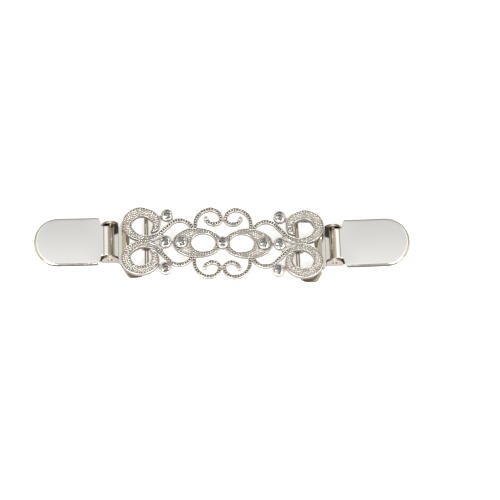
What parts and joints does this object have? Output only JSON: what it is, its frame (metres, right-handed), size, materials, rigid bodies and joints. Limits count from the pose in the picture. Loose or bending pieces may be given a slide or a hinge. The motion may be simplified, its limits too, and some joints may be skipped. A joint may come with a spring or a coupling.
{
  "type": "sweater clip",
  "caption": "Openwork filigree bridge set with round stones, with a hinged lever clip at each end that grips the front edges of a cardigan.",
  "frame": {"origin": "under the middle stone, on the surface that the clip lies on", "axes": "+X along the clip's length, +Y to the upper curls, +Z out of the front"},
  "size_m": [0.1299, 0.0262, 0.007],
  "materials": {
    "bridge_metal": "plated, with a fine granular field",
    "stone": "cut and foiled",
    "clip_metal": "nickel plated",
    "cover_metal": "polished nickel plate"
  },
  "bodies": {
    "bridge": {"filigree": "bridge_metal", "stone_1": "stone", "stone_2": "stone", "stone_3": "stone", "stone_4": "stone", "stone_5": "stone", "stone_6": "stone", "stone_7": "stone", "stone_8": "stone", "stone_9": "stone"},
    "left_clip": {"left_clip": "clip_metal"},
    "left_lever": {"left_lever": "cover_metal"},
    "right_clip": {"right_clip": "clip_metal"},
    "right_lever": {"right_lever": "cover_metal"}
  },
  "joints": [
    {"name": "left_swivel", "type": "hinge", "parent": "bridge", "child": "left_clip", "pos_m": [-0.02635, 0.0005, 0.00205], "axis": [0.0419, -0.9991, 0], "range_deg": [0, 120]},
    {"name": "left_lever_hinge", "type": "hinge", "parent": "left_clip", "child": "left_lever", "pos_m": [-0.03894, -0.00003, 0.0041], "axis": [-0.0419, 0.9991, 0], "range_deg": [0, 80]},
    {"name": "right_swivel", "type": "hinge", "parent": "bridge", "child": "right_clip", "pos_m": [0.02585, -0.0004, 0.00205], "axis": [-0.0628, 0.998, 0], "range_deg": [0, 120]},
    {"name": "right_lever_hinge", "type": "hinge", "parent": "right_clip", "child": "right_lever", "pos_m": [0.03843, 0.00039, 0.0041], "axis": [0.0628, -0.998, 0], "range_deg": [0, 80]}
  ]
}
